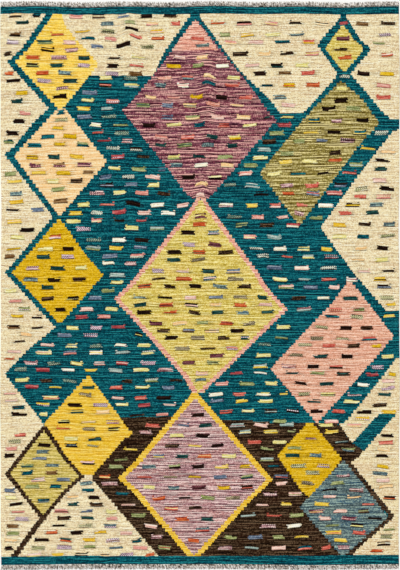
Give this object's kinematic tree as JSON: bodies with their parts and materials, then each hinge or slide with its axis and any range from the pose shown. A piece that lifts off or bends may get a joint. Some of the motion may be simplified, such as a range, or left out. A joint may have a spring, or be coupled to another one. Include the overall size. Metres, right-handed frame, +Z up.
{
  "type": "kilim rug",
  "caption": "Flat-woven wool rug with stepped lozenges in many colours, rows of short woven dashes and a short warp fringe along both ends, lying flat.",
  "frame": {"origin": "on the floor under the middle of the rug, where its underside rests", "axes": "+X across the rug, along the wefts; +Y along the rug, from the near fringe to the far one; +Z up, out of the face of the rug"},
  "size_m": [1.5043, 2.147, 0.0051],
  "materials": {
    "kilim_wool": "slit-tapestry wool, many dyed colours, matt",
    "warp_yarn": "undyed grey and ivory warp yarn, matt"
  },
  "bodies": {
    "root": {"kilim_body": "kilim_wool", "fringe_far": "warp_yarn", "fringe_near": "warp_yarn"}
  },
  "joints": []
}
